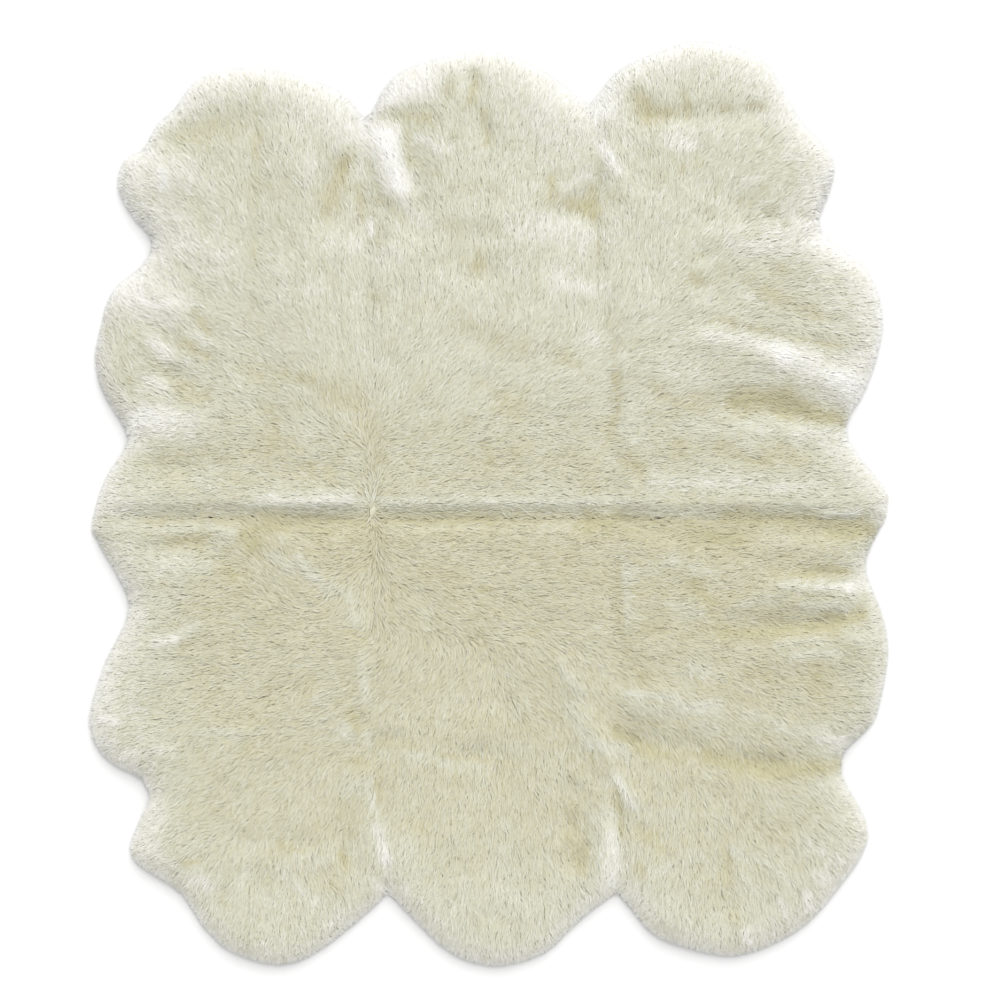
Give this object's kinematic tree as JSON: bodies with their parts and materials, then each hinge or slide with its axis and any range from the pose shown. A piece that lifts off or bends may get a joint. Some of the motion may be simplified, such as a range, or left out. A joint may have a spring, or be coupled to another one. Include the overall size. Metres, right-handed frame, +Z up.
{
  "type": "sheepskin rug",
  "caption": "Flat fleece floor rug: long ivory wool pelts sewn edge to edge, with a lobed outline and a suede underside.",
  "frame": {"origin": "on the floor under the middle of the rug's box", "axes": "+X across the rug's three columns of pelts, +Y along the rug, +Z up out of the wool"},
  "size_m": [1.6596, 1.9176, 0.0526],
  "materials": {
    "wool": "matte ivory wool",
    "hide": "matte undyed suede"
  },
  "bodies": {
    "root": {"pelt_top_left": "wool", "pelt_top_centre": "wool", "pelt_top_right": "wool", "pelt_bottom_left": "wool", "pelt_bottom_centre": "wool", "pelt_bottom_right": "wool"}
  },
  "joints": []
}
